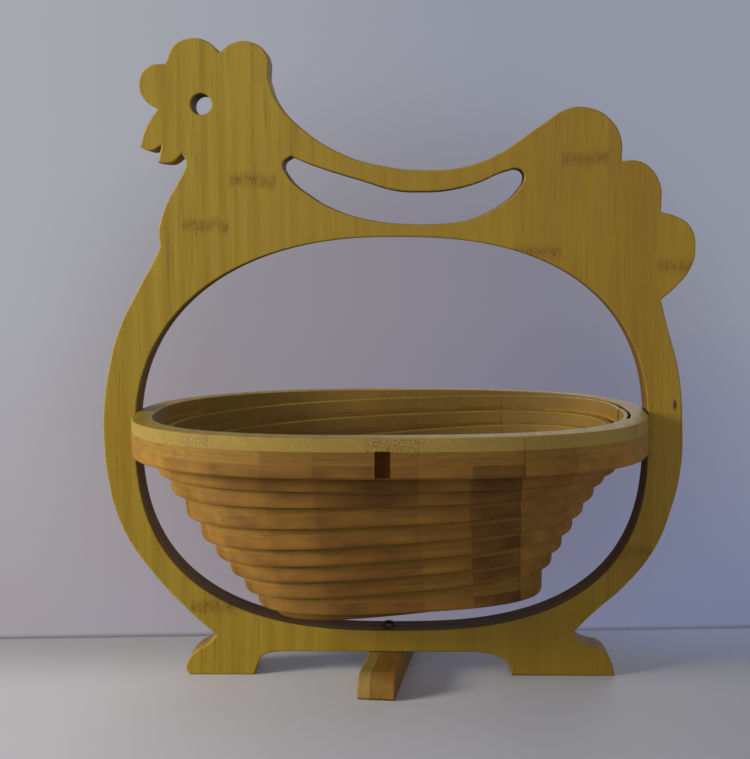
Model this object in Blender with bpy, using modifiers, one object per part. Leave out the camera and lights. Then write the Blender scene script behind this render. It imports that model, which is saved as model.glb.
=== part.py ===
"""Collapsible bamboo basket: a hen-shaped board whose middle is cut into one long spiral strip.

The board stands upright on its two feet and a cross foot that swivels under the bar. The cut
middle turns level on two pins, and its turns hang below each other as a basket. The strip bends
at both ends of every turn, so each half turn is a link, and the floor is the last one.

Metres, +Z up. The board's mid plane is Y = 0 with its light face at -Y, and Z = 0 is the ground.
The basket is shown open, with the light face of the cut middle up.
"""

import math

import bmesh
import bpy
from mathutils import Matrix, Vector

# Board sizes
BOARD_THICKNESS = 0.0162
BOARD_EDGE = 0.0006
OPENING_HALF_LENGTH = 0.1128
OPENING_HALF_HEIGHT = 0.0875
ARM_WIDTH = 0.0145
HEAD_RISE = 0.0855
FOOT_HEIGHT = 0.0107
BAR_DEPTH = 0.0098
EYE_RADIUS = 0.0045

# Basket sizes
OUTER_KERF = 0.0012
SIDE_PLAY = 0.0004
PIVOT_RISE = 0.0034
CUT_START_INSET = 0.0092
CUT_INSET = 0.0075
CUT_PITCH = 0.00525
KERF = 0.0015
CUT_DRIFT = 0.0004
WALL_LEAN_SHARE = 0.055
BEVEL_WIDTH = 0.0016
BEVEL_HEIGHT = 0.003
RIM_BEVEL = 0.0012
SEAM_GAP = 0.0003

# Space left under the open basket
FLOOR_CLEARANCE = 0.0057

# Pins and screw
PIN_DIAMETER = 0.0032
PIN_RECESS = 0.002
PIN_REACH = 0.0045
SCREW_X = -0.0012
SCREW_HEAD_DIAMETER = 0.0054
SCREW_HEAD_HEIGHT = 0.0022
SCREW_DIAMETER = 0.0036
SCREW_REACH = 0.0065
FIT_GAP = 0.0003
CUT_OVERRUN = 0.004

# Cross foot
CROSS_FOOT_HALF_LENGTH = 0.0428
CROSS_FOOT_END_RADIUS = 0.0092
CROSS_FOOT_TOE = 0.0012
CROSS_FOOT_REST_ANGLE = math.radians(-6.5)

# The saw cut starts this share of a turn before the seam, a little narrower than the rest of it
START_SLOT_TURN_SHARE = 0.05
START_SLOT_WIDTH_SHARE = 0.9

# The screw head's profile, out from the axis and down from its top
SCREW_HEAD_SHARES = ((0.0, 0.0), (0.6, 0.08), (0.9, 0.35), (1.0, 0.7), (1.0, 1.0))

# Facets
OPENING_POINTS = 72
HALF_TURN_STEPS = 24
START_SLOT_STEPS = 6
OUTLINE_STEPS = 4
ROUND_SIDES = 24

# The opening's roundness in each quarter, counter-clockwise from the upper right
OPENING_POWERS = (2.48, 2.26, 2.58, 2.70)

# How low the strip's middle hangs where each turn passes the seams, in shares of the basket's depth
LEFT_DROP_SHARES = (0.1, 0.217, 0.362, 0.501, 0.612, 0.716, 0.826, 0.92)
RIGHT_DROP_SHARES = (0.088, 0.156, 0.25, 0.347, 0.453, 0.564, 0.668, 0.845)

# How far the hinges of each turn and of the floor lie off the strip's middle: at 1 they lie in its
# lower face on the right and in its upper face on the left
HINGE_LEVEL_SHARES = (1.0, 0.65, 0.3, 0.35, 0.6, 0.5, 0.4, 0.3, 0.0)

# Sizes that follow
HALF_SPAN = OPENING_HALF_LENGTH + ARM_WIDTH
BAR_TOP = FOOT_HEIGHT + BAR_DEPTH
OPENING_MIDDLE = BAR_TOP + OPENING_HALF_HEIGHT
OPENING_TOP = OPENING_MIDDLE + OPENING_HALF_HEIGHT
PIVOT_HEIGHT = OPENING_MIDDLE + PIVOT_RISE
HALF_THICKNESS = BOARD_THICKNESS / 2
PIN_LENGTH = ARM_WIDTH - PIN_RECESS + OUTER_KERF + PIN_REACH
SCREW_SEAT = BAR_TOP + FIT_GAP
SCREW_TOP = SCREW_SEAT + SCREW_HEAD_HEIGHT
TURN_COUNT = len(LEFT_DROP_SHARES)
BASKET_DEPTH = PIVOT_HEIGHT - HALF_THICKNESS - SCREW_TOP - FLOOR_CLEARANCE
WELD_DISTANCE = BOARD_EDGE / ROUND_SIDES

# The outline, in stretches that meet at sharp notches and tips. Across, the shares are of the half
# span. Up, they are of the foot height, of the opening's half height from its middle, or of the
# head rise from its top. The first point of each stretch is sharp.
FOOT_LEFT_SHARES = (
    ((-0.715, 0.0), (-0.727, 0.26), (-0.717, 0.66), (-0.688, 1.04), (-0.648, 1.32)),
    ((-0.617, 1.7),),
)
ARM_LEFT_SHARES = (
    (-0.716, -0.894), (-0.844, -0.686), (-0.936, -0.478), (-0.98, -0.27), (-0.999, 0.02),
    (-0.993, 0.19), (-0.975, 0.345), (-0.936, 0.544), (-0.866, 0.745), (-0.822, 0.855),
)
HEAD_SHARES = (
    ((-0.785, -0.041), (-0.789, 0.041), (-0.765, 0.158)),
    ((-0.7, 0.33), (-0.69, 0.385)),
    ((-0.702, 0.425), (-0.742, 0.381)),
    ((-0.785, 0.382),),
    ((-0.773, 0.468), (-0.811, 0.442)),
    ((-0.846, 0.462), (-0.824, 0.56)),
    ((-0.784, 0.65), (-0.83, 0.702), (-0.844, 0.79), (-0.812, 0.86)),
    ((-0.753, 0.876), (-0.722, 0.965), (-0.664, 0.999), (-0.606, 0.98)),
    ((-0.57, 0.928), (-0.522, 0.974), (-0.464, 0.977), (-0.412, 0.925)),
    ((-0.405, 0.798), (-0.379, 0.689), (-0.309, 0.568), (-0.16, 0.42), (-0.002, 0.351),
     (0.113, 0.334), (0.244, 0.345), (0.361, 0.404), (0.52, 0.558), (0.605, 0.633),
     (0.676, 0.636), (0.742, 0.585), (0.782, 0.491)),
    ((0.786, 0.371), (0.838, 0.372), (0.887, 0.33), (0.918, 0.246), (0.921, 0.181)),
    ((0.919, 0.116), (0.97, 0.094), (1.017, 0.047), (1.038, -0.064), (1.021, -0.17),
     (0.974, -0.26)),
)
ARM_RIGHT_SHARES = (
    ((0.924, 0.681), (0.949, 0.537), (0.987, 0.331), (1.004, 0.057), (1.0, -0.171),
     (0.969, -0.374), (0.913, -0.579), (0.8, -0.785), (0.718, -0.889)),
)
FOOT_RIGHT_SHARES = (
    ((0.636, 1.85), (0.652, 1.53), (0.691, 1.28), (0.735, 1.14), (0.767, 0.69)),
    ((0.782, 0.0),),
    ((0.422, 0.0), (0.412, 0.45), (0.375, 0.8)),
    ((0.3, 1.0),),
    ((-0.36, 1.0), (-0.43, 0.93)),
    ((-0.46, 0.79),),
    ((-0.486, 0.0),),
)
SLOT_SHARES = (
    (-0.331, 0.41), (-0.262, 0.367), (-0.094, 0.287), (0.024, 0.235), (0.113, 0.227),
    (0.201, 0.234), (0.306, 0.272), (0.4, 0.329), (0.443, 0.335), (0.459, 0.306),
    (0.434, 0.226), (0.373, 0.152), (0.266, 0.083), (0.153, 0.063), (0.065, 0.064),
    (-0.044, 0.081), (-0.17, 0.132), (-0.271, 0.214), (-0.345, 0.315), (-0.358, 0.375),
)
EYE_SHARES = (-0.634, 0.6725)

BAMBOO_FACE = (0.28, 0.175, 0.045)
BAMBOO_DARK = (0.19, 0.1, 0.028)
BAMBOO_PALE = (0.36, 0.24, 0.09)
STEEL = (0.45, 0.43, 0.4)


def clear_scene():
    """Remove whatever the file opened with."""
    for item in list(bpy.data.objects):
        bpy.data.objects.remove(item)


def new_collection(name):
    """Link a new collection to the scene."""
    made = bpy.data.collections.new(name)
    bpy.context.scene.collection.children.link(made)
    return made


def add_material(item, colour, roughness=0.5, metallic=0.0):
    """Give an object its own plain material."""
    material = bpy.data.materials.new(item.name)
    material.use_nodes = True
    shader = material.node_tree.nodes["Principled BSDF"]
    shader.inputs["Base Color"].default_value = (*colour, 1.0)
    shader.inputs["Roughness"].default_value = roughness
    shader.inputs["Metallic"].default_value = metallic
    item.data.materials.append(material)


def add_object(name, mesh, collection, parent=None, location=(0.0, 0.0, 0.0), turn=(0.0, 0.0, 0.0)):
    """Link a mesh object, placed in its parent's own axes."""
    item = bpy.data.objects.new(name, mesh)
    item.parent = parent
    item.location = location
    item.rotation_euler = turn
    collection.objects.link(item)
    return item


def shade(mesh, sharp_degrees=35.0):
    """Shade a mesh smooth, apart from its sharp edges."""
    mesh.shade_smooth()
    mesh.set_sharp_from_angle(angle=math.radians(sharp_degrees))


def mesh_from(name, work):
    """Turn a bmesh with outward faces into a mesh."""
    bmesh.ops.recalc_face_normals(work, faces=work.faces[:])
    mesh = bpy.data.meshes.new(name)
    work.to_mesh(mesh)
    work.free()
    return mesh


def loft(name, sections, closed=False):
    """Skin equal sections in order, as a ring or with flat ends."""
    work = bmesh.new()
    rings = [[work.verts.new(point) for point in section] for section in sections]
    pairs = list(zip(rings, rings[1:]))
    if closed:
        pairs.append((rings[-1], rings[0]))
    for near, far in pairs:
        for index in range(len(near)):
            after = (index + 1) % len(near)
            work.faces.new((near[index], near[after], far[after], far[index]))
    if not closed:
        work.faces.new(rings[0])
        work.faces.new(rings[-1])
    return mesh_from(name, work)


def cylinder(name, diameter, length, centre, axis):
    """A capped cylinder along one axis, as a mesh in world axes."""
    work = bmesh.new()
    place = Matrix.Translation(centre) @ Vector((0, 0, 1)).rotation_difference(axis).to_matrix().to_4x4()
    bmesh.ops.create_cone(
        work, cap_ends=True, segments=ROUND_SIDES, radius1=diameter / 2, radius2=diameter / 2,
        depth=length, matrix=place,
    )
    return mesh_from(name, work)


def cut(item, cutter, cutters):
    """Subtract a mesh, given in the object's own axes, from an object."""
    tool = add_object(f"{item.name}_{cutter.name}", cutter, cutters, parent=item)
    tool.hide_render = True
    tool.display_type = "WIRE"
    modifier = item.modifiers.new(cutter.name, "BOOLEAN")
    modifier.operation = "DIFFERENCE"
    modifier.solver = "EXACT"
    modifier.object = tool


def add_spline(curve, stretches):
    """Add a closed outline: the first point of each stretch is sharp and the others are smooth."""
    points = [(point, index == 0) for stretch in stretches for index, point in enumerate(stretch)]
    spline = curve.splines.new("BEZIER")
    spline.bezier_points.add(len(points) - 1)
    for anchor, (point, sharp) in zip(spline.bezier_points, points):
        anchor.co = (*point, 0.0)
        anchor.handle_left_type = anchor.handle_right_type = "VECTOR" if sharp else "AUTO"
    spline.use_cyclic_u = True


def add_polygon(curve, points):
    """Add a closed outline of straight pieces."""
    spline = curve.splines.new("POLY")
    spline.points.add(len(points) - 1)
    for anchor, point in zip(spline.points, points):
        anchor.co = (*point, 0.0, 1.0)
    spline.use_cyclic_u = True


def plate_mesh(name, curve, edge):
    """Extrude a flat outline to the board's thickness, with its edges broken, as a closed mesh."""
    curve.dimensions = "2D"
    curve.fill_mode = "BOTH"
    curve.extrude = HALF_THICKNESS - edge
    curve.bevel_depth = edge
    curve.bevel_resolution = 0
    curve.offset = -edge
    curve.resolution_u = OUTLINE_STEPS
    source = bpy.data.objects.new(name, curve)
    bpy.context.scene.collection.objects.link(source)
    graph = bpy.context.evaluated_depsgraph_get()
    mesh = bpy.data.meshes.new_from_object(source.evaluated_get(graph))
    bpy.data.objects.remove(source)
    work = bmesh.new()
    work.from_mesh(mesh)
    bmesh.ops.remove_doubles(work, verts=work.verts[:], dist=WELD_DISTANCE)
    bpy.data.meshes.remove(mesh)
    return mesh_from(name, work)


def opening_radius(angle, inset):
    """Distance from the opening's middle to its edge, drawn in by an inset, along one direction."""
    quarter = int(angle % math.tau // (math.pi / 2))
    power = OPENING_POWERS[quarter]
    across = abs(math.cos(angle)) / (OPENING_HALF_LENGTH - inset)
    upward = abs(math.sin(angle)) / (OPENING_HALF_HEIGHT - inset)
    return (across**power + upward**power) ** (-1 / power)


def cut_inset(turns):
    """How far inside the opening's edge the saw cut's middle runs, after so many turns."""
    return max(CUT_START_INSET, CUT_INSET + CUT_PITCH * turns)


def cut_wall(turns, side, depth, extra=0.0):
    """A point on one wall of the cut, in the basket's plane: side is -1 outside the cut, 1 inside."""
    inset = cut_inset(turns) + side * KERF / 2 + WALL_LEAN_SHARE * depth + extra
    angle = math.tau * turns
    radius = opening_radius(angle, inset)
    return Vector((
        CUT_DRIFT * turns + radius * math.cos(angle) - SIDE_PLAY,
        radius * math.sin(angle) - PIVOT_RISE,
        HALF_THICKNESS - depth,
    ))


def rim_edge(turns, inset):
    """A point on the rim's outer wall, square to its faces, without its height."""
    angle = math.tau * turns
    radius = opening_radius(angle, OUTER_KERF + inset)
    return radius * math.cos(angle) - SIDE_PLAY, radius * math.sin(angle) - PIVOT_RISE


def on_seam(points, offset):
    """Flatten a section onto the seam plane through the middle, moved by an offset along Y."""
    return [Vector((point.x, offset - PIVOT_RISE, point.z)) for point in points]


def strip_section(turns):
    """The strip's section: its outer wall, its bevelled lower edge and its inner wall."""
    width = (cut_wall(turns, 1, 0.0) - cut_wall(turns + 1, -1, 0.0)).length
    bevel = min(BEVEL_WIDTH, width / 2)
    return [
        cut_wall(turns, 1, 0.0),
        cut_wall(turns, 1, BOARD_THICKNESS - BEVEL_HEIGHT),
        cut_wall(turns, 1, BOARD_THICKNESS, bevel),
        cut_wall(turns + 1, -1, BOARD_THICKNESS),
        cut_wall(turns + 1, -1, 0.0),
    ]


def half_turn_sections(half):
    """Sections along one half turn, with square ends at the seams."""
    side = 1 if half % 2 == 0 else -1
    sections = [strip_section((half + step / HALF_TURN_STEPS) / 2) for step in range(HALF_TURN_STEPS + 1)]
    sections[0] = on_seam(sections[0], side * SEAM_GAP / 2)
    sections[-1] = on_seam(sections[-1], side * SEAM_GAP / 2)
    return sections


def hinge_point(half):
    """Where a half turn bends from the one before, in the basket's plane."""
    turns = half / 2
    outer = cut_wall(turns, 1, HALF_THICKNESS)
    inner = cut_wall(turns + 1, -1, HALF_THICKNESS)
    side = -1 if half % 2 == 0 else 1
    share = side * HINGE_LEVEL_SHARES[min(half // 2, TURN_COUNT)]
    return Vector(((outer.x + inner.x) / 2, -PIVOT_RISE, share * HALF_THICKNESS))


def seam_drop(half):
    """How far the strip's middle hangs below the rim's where a half turn starts."""
    if half == 0:
        return 0.0
    if half > 2 * TURN_COUNT:
        return BASKET_DEPTH
    shares = RIGHT_DROP_SHARES if half % 2 == 0 else LEFT_DROP_SHARES
    return BASKET_DEPTH * shares[(half - 1) // 2]


def tilt(half):
    """A half turn's slope about Y, from how far its far end hangs below its near end."""
    length = abs(hinge_point(half + 1).x - hinge_point(half).x)
    slope = (seam_drop(half + 1) - seam_drop(half)) / length
    return -slope if half % 2 == 0 else slope


def make_frame(parts, cutters):
    """The standing board: hen outline, basket opening, hand slot and eye, with its holes."""
    def foot(stretches):
        return [[(x * HALF_SPAN, z * FOOT_HEIGHT) for x, z in stretch] for stretch in stretches]

    def arm(points):
        return [(x * HALF_SPAN, OPENING_MIDDLE + z * OPENING_HALF_HEIGHT) for x, z in points]

    def head(points):
        return [(x * HALF_SPAN, OPENING_TOP + z * HEAD_RISE) for x, z in points]

    left = foot(FOOT_LEFT_SHARES)
    left[-1] += arm(ARM_LEFT_SHARES)
    curve = bpy.data.curves.new("board_outline", "CURVE")
    add_spline(
        curve,
        left + [head(stretch) for stretch in HEAD_SHARES] + [arm(s) for s in ARM_RIGHT_SHARES]
        + foot(FOOT_RIGHT_SHARES),
    )
    opening = []
    for index in range(OPENING_POINTS):
        angle = math.tau * index / OPENING_POINTS
        radius = opening_radius(angle, 0.0)
        opening.append((radius * math.cos(angle), OPENING_MIDDLE + radius * math.sin(angle)))
    add_polygon(curve, opening)
    add_spline(curve, [head(SLOT_SHARES)])
    eye_x, eye_z = head([EYE_SHARES])[0]
    add_polygon(curve, [
        (eye_x + EYE_RADIUS * math.cos(math.tau * index / ROUND_SIDES),
         eye_z + EYE_RADIUS * math.sin(math.tau * index / ROUND_SIDES))
        for index in range(ROUND_SIDES)
    ])
    mesh = plate_mesh("frame_board", curve, BOARD_EDGE)
    mesh.transform(Matrix.Rotation(math.pi / 2, 4, "X"))
    shade(mesh)
    frame = add_object("frame_board", mesh, parts)
    bore = PIN_DIAMETER + 2 * FIT_GAP
    for side, name in ((-1, "left_bore"), (1, "right_bore")):
        middle = Vector((side * (OPENING_HALF_LENGTH + ARM_WIDTH / 2), 0.0, PIVOT_HEIGHT))
        cut(frame, cylinder(name, bore, ARM_WIDTH + 2 * CUT_OVERRUN, middle, Vector((1, 0, 0))), cutters)
    middle = Vector((SCREW_X, 0.0, FOOT_HEIGHT + BAR_DEPTH / 2))
    hole = SCREW_DIAMETER + 2 * FIT_GAP
    cut(frame, cylinder("screw_hole", hole, BAR_DEPTH + 2 * CUT_OVERRUN, middle, Vector((0, 0, 1))), cutters)
    add_material(frame, BAMBOO_FACE)
    return frame


def make_pins(parts):
    """The two pins that the rim turns on, each from its arm into the rim."""
    for side, name in ((-1, "left_pivot_pin"), (1, "right_pivot_pin")):
        middle = Vector((side * (HALF_SPAN - PIN_RECESS - PIN_LENGTH / 2), 0.0, PIVOT_HEIGHT))
        mesh = cylinder(name, PIN_DIAMETER, PIN_LENGTH, Vector((0, 0, 0)), Vector((1, 0, 0)))
        shade(mesh)
        pin = add_object(name, mesh, parts, location=middle)
        add_material(pin, STEEL, roughness=0.35, metallic=1.0)


def make_rim(parts, cutters):
    """The basket's level rim, with pin bores, the cut's start and a notch over the screw head."""
    steps = 2 * HALF_TURN_STEPS
    level = HALF_THICKNESS
    sections = []
    for step in range(steps + 1):
        turns = step / steps
        # The last outer points stop just short of the first ones, so that the step has a face.
        outer = turns if step < steps else turns - WELD_DISTANCE / OPENING_HALF_LENGTH
        inner = [cut_wall(turns, -1, BOARD_THICKNESS), cut_wall(turns, -1, 0.0)]
        if step in (0, steps):
            inner = on_seam(inner, -SEAM_GAP / 2)
        sections.append([
            Vector((*rim_edge(outer, 0.0), level)),
            Vector((*rim_edge(outer, 0.0), RIM_BEVEL - level)),
            Vector((*rim_edge(outer, RIM_BEVEL), -level)),
            *inner,
        ])
    mesh = loft("basket_rim", sections, closed=True)
    shade(mesh)
    rim = add_object("basket_rim", mesh, parts, location=(0.0, 0.0, PIVOT_HEIGHT))
    bore = PIN_DIAMETER + 2 * FIT_GAP
    depth = PIN_REACH + FIT_GAP + SIDE_PLAY
    for side, name in ((-1, "left_bore"), (1, "right_bore")):
        inner_end = OPENING_HALF_LENGTH - OUTER_KERF - PIN_REACH - FIT_GAP
        middle = Vector((side * (inner_end + (depth + CUT_OVERRUN) / 2), 0.0, 0.0))
        cut(rim, cylinder(name, bore, depth + CUT_OVERRUN, middle, Vector((1, 0, 0))), cutters)
    cut(rim, start_slot_mesh(), cutters)
    cut(rim, head_notch_mesh(), cutters)
    add_material(rim, BAMBOO_PALE)
    return rim


def start_slot_mesh():
    """The slot where the saw cut starts, in front of the right seam."""
    spare = KERF / 2 * (1 - START_SLOT_WIDTH_SHARE)
    sections = []
    for step in range(START_SLOT_STEPS + 1):
        turns = -START_SLOT_TURN_SHARE * (1 - step / START_SLOT_STEPS)
        points = [
            cut_wall(turns, -1, BOARD_THICKNESS + CUT_OVERRUN, spare),
            cut_wall(turns, -1, -CUT_OVERRUN, spare),
            cut_wall(turns, 1, -CUT_OVERRUN, -spare),
            cut_wall(turns, 1, BOARD_THICKNESS + CUT_OVERRUN, -spare),
        ]
        sections.append(points if step < START_SLOT_STEPS else on_seam(points, SEAM_GAP))
    return loft("start_slot", sections)


def head_notch_mesh():
    """The notch in the rim's front that swings past the screw head as the basket shuts."""
    width = SCREW_HEAD_DIAMETER + 2 * FIT_GAP
    front = OPENING_HALF_HEIGHT - OUTER_KERF + PIVOT_RISE
    floor = math.sqrt((PIVOT_HEIGHT - SCREW_TOP - FIT_GAP)**2 - HALF_THICKNESS**2)
    height = HALF_THICKNESS + width / 2 + CUT_OVERRUN
    depth = front - floor + CUT_OVERRUN
    work = bmesh.new()
    bmesh.ops.create_cube(work, size=1.0)
    bmesh.ops.scale(work, vec=(width, depth, height), verts=work.verts[:])
    shift = Vector((SCREW_X, -floor - depth / 2, width / 2 - height / 2))
    bmesh.ops.translate(work, vec=shift, verts=work.verts[:])
    return mesh_from("head_notch", work)


def floor_mesh():
    """The floor: all that the cut leaves inside its last turn, with a step at the right seam."""
    steps = 2 * HALF_TURN_STEPS
    rings = []
    for depth, bevel in ((0.0, 0.0), (BOARD_THICKNESS - BEVEL_HEIGHT, 0.0), (BOARD_THICKNESS, BEVEL_WIDTH)):
        ring = [cut_wall(TURN_COUNT + step / steps, 1, depth, bevel) for step in range(steps + 1)]
        ring[0] = on_seam(ring[:1], SEAM_GAP / 2)[0]
        ring[-1] = on_seam(ring[-1:], SEAM_GAP / 2)[0]
        rings.append(ring)
    return loft("basket_floor", rings)


def make_spiral(rim, parts):
    """The half turns and the floor, each hinged on the one before at the seam between them."""
    parent = rim
    parent_hinge = Vector((0.0, 0.0, 0.0))
    parent_tilt = 0.0
    for half in range(2 * TURN_COUNT + 1):
        hinge = hinge_point(half)
        if half == 2 * TURN_COUNT:
            name = "basket_floor"
            mesh = floor_mesh()
        else:
            name = f"spiral_turn_{half // 2 + 1}_{'back' if half % 2 == 0 else 'front'}"
            mesh = loft(name, half_turn_sections(half))
        mesh.transform(Matrix.Translation(-hinge))
        shade(mesh)
        bend = tilt(half) - parent_tilt
        link = add_object(name, mesh, parts, parent, hinge - parent_hinge, (0.0, bend, 0.0))
        add_material(link, BAMBOO_DARK)
        parent = link
        parent_hinge = hinge
        parent_tilt = tilt(half)


def make_cross_foot(parts, cutters):
    """The bar that swivels under the board, with round ends, from its side profile."""
    height = FOOT_HEIGHT - FIT_GAP
    profile = []
    for side in (1, -1):
        end = [(side * (CROSS_FOOT_HALF_LENGTH - CROSS_FOOT_TOE), 0.0),
               (side * CROSS_FOOT_HALF_LENGTH, CROSS_FOOT_TOE)]
        centre_x = CROSS_FOOT_HALF_LENGTH - CROSS_FOOT_END_RADIUS
        centre_z = height - CROSS_FOOT_END_RADIUS
        for step in range(ROUND_SIDES // 4 + 1):
            angle = math.tau * step / ROUND_SIDES
            end.append((
                side * (centre_x + CROSS_FOOT_END_RADIUS * math.cos(angle)),
                centre_z + CROSS_FOOT_END_RADIUS * math.sin(angle),
            ))
        profile += end if side == 1 else end[::-1]
    curve = bpy.data.curves.new("cross_foot_profile", "CURVE")
    add_polygon(curve, profile)
    mesh = plate_mesh("cross_foot", curve, BOARD_EDGE)
    mesh.transform(Matrix.Rotation(math.pi / 2, 4, "Z") @ Matrix.Rotation(math.pi / 2, 4, "X"))
    shade(mesh)
    place = (SCREW_X, 0.0, 0.0)
    foot = add_object("cross_foot", mesh, parts, location=place, turn=(0.0, 0.0, CROSS_FOOT_REST_ANGLE))
    depth = SCREW_REACH + FIT_GAP
    middle = Vector((0.0, 0.0, height - depth + (depth + CUT_OVERRUN) / 2))
    hole = SCREW_DIAMETER + 2 * FIT_GAP
    cut(foot, cylinder("screw_hole", hole, depth + CUT_OVERRUN, middle, Vector((0, 0, 1))), cutters)
    add_material(foot, BAMBOO_FACE)


def make_screw(parts):
    """The pan-head screw that holds the cross foot under the bar, turned from its profile."""
    head = SCREW_HEAD_DIAMETER / 2
    shank = SCREW_DIAMETER / 2
    tip = FOOT_HEIGHT - FIT_GAP - SCREW_REACH
    profile = [(out * head, SCREW_TOP - down * SCREW_HEAD_HEIGHT) for out, down in SCREW_HEAD_SHARES]
    profile += [(shank, SCREW_SEAT), (shank, tip + shank), (0.0, tip)]
    mesh = bpy.data.meshes.new("foot_screw")
    mesh.from_pydata([(x, 0.0, z) for x, z in profile], [(i, i + 1) for i in range(len(profile) - 1)], [])
    screw = add_object("foot_screw", mesh, parts, location=(SCREW_X, 0.0, 0.0))
    turned = screw.modifiers.new("turned", "SCREW")
    turned.steps = turned.render_steps = ROUND_SIDES
    turned.use_merge_vertices = True
    turned.merge_threshold = WELD_DISTANCE
    add_material(screw, STEEL, roughness=0.35, metallic=1.0)


def main():
    """Build every piece of the basket."""
    clear_scene()
    parts = new_collection("collapsible_basket")
    cutters = new_collection("cutters")
    make_frame(parts, cutters)
    make_pins(parts)
    rim = make_rim(parts, cutters)
    make_spiral(rim, parts)
    make_cross_foot(parts, cutters)
    make_screw(parts)


main()
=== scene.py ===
"""Looks of the collapsible bamboo basket: rounded pieces, bamboo and steel, camera and light.

The bamboo pieces repeat the solid model's formulas with more points and rounded edges. Each is
built in the flat board's own axes, X across, Y up and Z out of the light face, and is then placed
where the open basket holds it. The strips, plies and nodes of the bamboo are drawn in those axes,
so they run on from piece to piece, as in the one board that the basket is sawn from.
"""

import math

import bmesh
import bpy
from mathutils import Matrix, Vector


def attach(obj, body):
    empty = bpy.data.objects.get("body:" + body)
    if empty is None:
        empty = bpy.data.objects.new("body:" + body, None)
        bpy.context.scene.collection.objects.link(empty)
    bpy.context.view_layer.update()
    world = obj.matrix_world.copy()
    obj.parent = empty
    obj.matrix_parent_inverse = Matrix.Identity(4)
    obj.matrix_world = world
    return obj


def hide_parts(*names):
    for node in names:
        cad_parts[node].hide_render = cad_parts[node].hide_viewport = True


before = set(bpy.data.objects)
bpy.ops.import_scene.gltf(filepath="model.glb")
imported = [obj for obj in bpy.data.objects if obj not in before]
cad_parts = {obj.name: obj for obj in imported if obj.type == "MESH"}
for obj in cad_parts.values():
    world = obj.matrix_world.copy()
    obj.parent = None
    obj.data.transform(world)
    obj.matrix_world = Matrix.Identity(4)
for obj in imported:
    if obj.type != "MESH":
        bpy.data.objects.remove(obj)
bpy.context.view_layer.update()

# Board sizes
BOARD_THICKNESS = 0.0162
BOARD_EDGE = 0.0007
OPENING_HALF_LENGTH = 0.1128
OPENING_HALF_HEIGHT = 0.0875
ARM_WIDTH = 0.0145
HEAD_RISE = 0.0855
FOOT_HEIGHT = 0.0107
BAR_DEPTH = 0.0098
EYE_RADIUS = 0.0045

# Basket sizes
OUTER_KERF = 0.0012
SIDE_PLAY = 0.0004
PIVOT_RISE = 0.0034
CUT_START_INSET = 0.0092
CUT_INSET = 0.0075
CUT_PITCH = 0.00525
KERF = 0.0015
CUT_DRIFT = 0.0004
WALL_LEAN_SHARE = 0.055
BELLY_WIDTH = 0.0007
BELLY_HEIGHT = 0.0018
FLOOR_BELLY_WIDTH = 0.0048
FLOOR_BELLY_HEIGHT = 0.0066
RIM_EDGE = 0.0006
RIM_EDGE_WIDTH = 0.001
RIM_EDGE_HEIGHT = 0.0014
CUT_EDGE = 0.0004
SEAM_GAP = 0.00002

# How far short of a full turn the rim's outer wall stops, so that its step has a face
RIM_STEP_TURNS = 0.000110816

# Space left under the open basket
FLOOR_CLEARANCE = 0.0057

# Pins, screw and cross foot
PIN_DIAMETER = 0.0032
PIN_REACH = 0.0045
SCREW_X = -0.0012
SCREW_HEAD_DIAMETER = 0.0054
SCREW_HEAD_HEIGHT = 0.0022
SCREW_DIAMETER = 0.0036
SCREW_REACH = 0.0065
FIT_GAP = 0.0003
PIN_BORE = PIN_DIAMETER + 2 * FIT_GAP
SCREW_HOLE = SCREW_DIAMETER + 2 * FIT_GAP
NOTCH_WIDTH = SCREW_HEAD_DIAMETER + 2 * FIT_GAP
CUT_OVERRUN = 0.004
CROSS_FOOT_HALF_LENGTH = 0.0428
CROSS_FOOT_END_RADIUS = 0.0092
CROSS_FOOT_TOE = 0.0012
CROSS_FOOT_REST_ANGLE = math.radians(-6.5)

# Fineness
OPENING_POINTS = 240
HALF_TURN_STEPS = 72
EDGE_STEPS = 3
BELLY_STEPS = 5
OUTLINE_STEPS = 10
BOARD_EDGE_STEPS = 2
ROUND_SIDES = 48
SHARP_ANGLE = math.radians(40.0)
MERGE_DISTANCE = BOARD_EDGE / ROUND_SIDES

# The opening's roundness in each quarter, counter-clockwise from the upper right
OPENING_POWERS = (2.48, 2.26, 2.58, 2.70)

# How low the strip's middle hangs where each turn passes the seams, in shares of the basket's depth
LEFT_DROP_SHARES = (0.1, 0.217, 0.362, 0.501, 0.612, 0.716, 0.826, 0.92)
RIGHT_DROP_SHARES = (0.088, 0.156, 0.25, 0.347, 0.453, 0.564, 0.668, 0.845)

# How far the hinges of each turn and of the floor lie off the strip's middle: at 1 they lie in its
# lower face on the right and in its upper face on the left
HINGE_LEVEL_SHARES = (1.0, 0.65, 0.3, 0.35, 0.6, 0.5, 0.4, 0.3, 0.0)

# The opening's mean roundness: the shares across and up, each to this power, add up to about 1 on
# its edge, and to less than the reach on all its walls
ROUND_POWER = 2.5
OPENING_REACH = 1.1

# The slot where the saw cut starts: its length in turns, and its width as a share of the cut's
START_SLOT_TURN_SHARE = 0.05
START_SLOT_WIDTH_SHARE = 0.9
START_SLOT_STEPS = 12

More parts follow.
